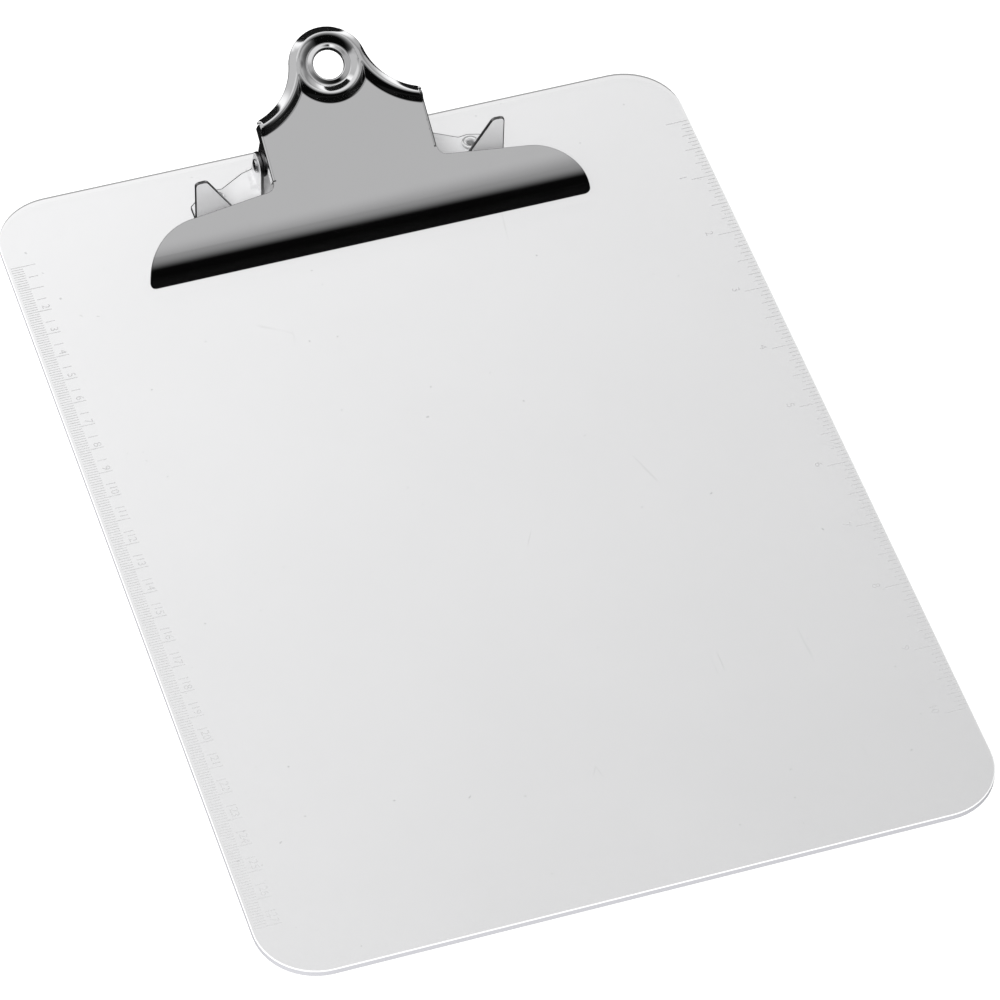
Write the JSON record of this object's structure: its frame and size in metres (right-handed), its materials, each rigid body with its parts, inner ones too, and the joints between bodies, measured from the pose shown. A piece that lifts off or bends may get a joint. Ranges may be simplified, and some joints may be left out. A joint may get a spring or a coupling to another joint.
{
  "type": "clipboard",
  "caption": "Clear rigid clipboard with a chromed spring clip: wide rolled jaw, hanging ring, paper stops and a sprung pivot riveted to the board's top edge.",
  "frame": {"origin": "centre of the board's flat underside", "axes": "+Z out of the writing face, +Y along the board towards the clip, +X to the writer's right"},
  "size_m": [0.2286, 0.3291, 0.0422],
  "materials": {
    "clear_plastic": "clear, glossy",
    "clip_chrome": "bright plated sheet steel",
    "rod_steel": "plated rod",
    "spring_steel": "drawn wire",
    "rivet_steel": "bright plated"
  },
  "bodies": {
    "board": {"board": "clear_plastic", "base_plate": "clip_chrome", "pivot_rod": "rod_steel", "torsion_spring": "spring_steel", "rivet_left": "rivet_steel", "rivet_right": "rivet_steel"},
    "jaw": {"jaw_plate": "clip_chrome"}
  },
  "joints": [
    {"name": "jaw_pivot", "type": "hinge", "parent": "board", "child": "jaw", "pos_m": [0, 0.143, 0.013], "axis": [-1, 0, 0], "range_deg": [0, 40], "stiffness_Nm_per_rad": 0.6, "springref_deg": -22.92, "deforming": ["torsion_spring"]}
  ]
}
